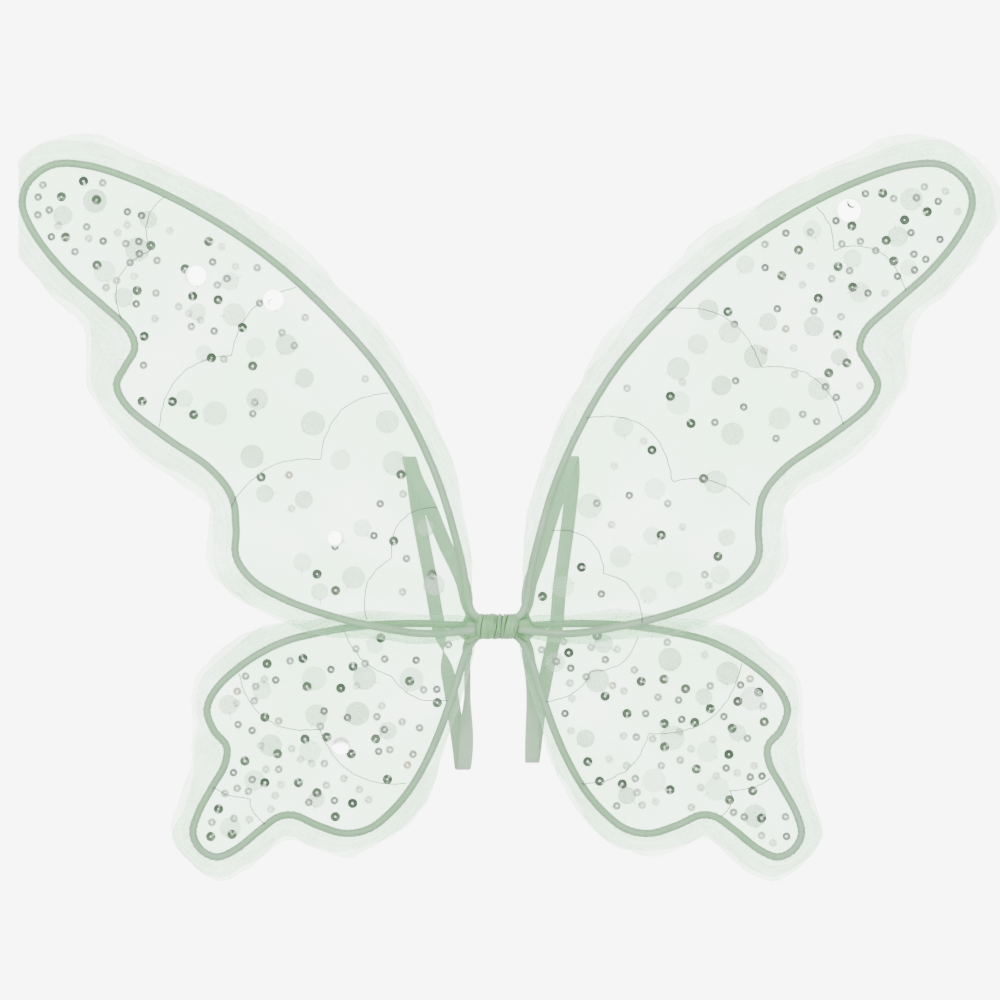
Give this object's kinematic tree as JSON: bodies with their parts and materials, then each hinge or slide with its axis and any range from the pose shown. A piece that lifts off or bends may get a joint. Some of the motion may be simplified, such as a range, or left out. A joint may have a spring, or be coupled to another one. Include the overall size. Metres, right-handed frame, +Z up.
{
  "type": "fairy wings",
  "caption": "Costume fairy wings: tulle panels with sequins on ribbon-covered wire frames, bound in the middle, with elastic arm loops.",
  "frame": {"origin": "the point of the binding's surface that rests on the wearer's back, midway between the wings", "axes": "+X across the back from the left wing to the right wing as seen from the decorated side, +Y towards the wearer, +Z up"},
  "size_m": [0.7151, 0.064, 0.5385],
  "materials": {
    "spring_steel": "drawn wire",
    "satin_ribbon": "sage green satin",
    "tulle": "fine sheer net, pale mint",
    "paillette": "translucent, pearly",
    "ring_sequin": "clear with a silvery sheen",
    "dark_sequin": "metallic dark green cup",
    "thread": "grey-green sewing thread",
    "elastic": "sage green flat elastic",
    "cotton_tape": "white cloth tape"
  },
  "bodies": {
    "root": {"wire_end_bundle": "spring_steel", "bundle_tape": "cotton_tape", "binding_ribbon": "satin_ribbon", "left_stem": "satin_ribbon", "right_stem": "satin_ribbon", "left_strap_ends": "elastic", "right_strap_ends": "elastic"},
    "left_strap": {"left_strap": "elastic"},
    "right_strap": {"right_strap": "elastic"},
    "left_upper_wing": {"left_upper_wire": "spring_steel", "left_upper_sleeve": "satin_ribbon", "left_upper_front_tulle": "tulle", "left_upper_back_tulle": "tulle", "left_upper_paillettes": "paillette", "left_upper_ring_sequins": "ring_sequin", "left_upper_dark_sequins": "dark_sequin", "left_upper_stitching": "thread"},
    "right_upper_wing": {"right_upper_wire": "spring_steel", "right_upper_sleeve": "satin_ribbon", "right_upper_front_tulle": "tulle", "right_upper_back_tulle": "tulle", "right_upper_paillettes": "paillette", "right_upper_ring_sequins": "ring_sequin", "right_upper_dark_sequins": "dark_sequin", "right_upper_stitching": "thread"},
    "left_lower_wing": {"left_lower_wire": "spring_steel", "left_lower_sleeve": "satin_ribbon", "left_lower_front_tulle": "tulle", "left_lower_back_tulle": "tulle", "left_lower_paillettes": "paillette", "left_lower_ring_sequins": "ring_sequin", "left_lower_dark_sequins": "dark_sequin", "left_lower_stitching": "thread"},
    "right_lower_wing": {"right_lower_wire": "spring_steel", "right_lower_sleeve": "satin_ribbon", "right_lower_front_tulle": "tulle", "right_lower_back_tulle": "tulle", "right_lower_paillettes": "paillette", "right_lower_ring_sequins": "ring_sequin", "right_lower_dark_sequins": "dark_sequin", "right_lower_stitching": "thread"}
  },
  "joints": [
    {"name": "left_upper_fold", "type": "hinge", "parent": "root", "child": "left_upper_wing", "pos_m": [-0.023, -0.0097, 0], "axis": [0, 0, 1], "range_deg": [0, 80]},
    {"name": "left_lower_fold", "type": "hinge", "parent": "root", "child": "left_lower_wing", "pos_m": [-0.023, -0.0097, 0], "axis": [0, 0, 1], "range_deg": [0, 80]},
    {"name": "right_upper_fold", "type": "hinge", "parent": "root", "child": "right_upper_wing", "pos_m": [0.023, -0.0097, 0], "axis": [0, 0, -1], "range_deg": [0, 80]},
    {"name": "right_lower_fold", "type": "hinge", "parent": "root", "child": "right_lower_wing", "pos_m": [0.023, -0.0097, 0], "axis": [0, 0, -1], "range_deg": [0, 80]},
    {"name": "left_strap_swing", "type": "hinge", "parent": "root", "child": "left_strap", "pos_m": [-0.018, -0.0039, 0], "axis": [0, 0, -1], "range_deg": [0, 30]},
    {"name": "right_strap_swing", "type": "hinge", "parent": "root", "child": "right_strap", "pos_m": [0.018, -0.0039, 0], "axis": [0, 0, 1], "range_deg": [0, 30]}
  ],
  "couplings": [
    {"joint": "left_lower_fold", "follows": "left_upper_fold", "ratio": 1},
    {"joint": "right_lower_fold", "follows": "right_upper_fold", "ratio": 1}
  ]
}
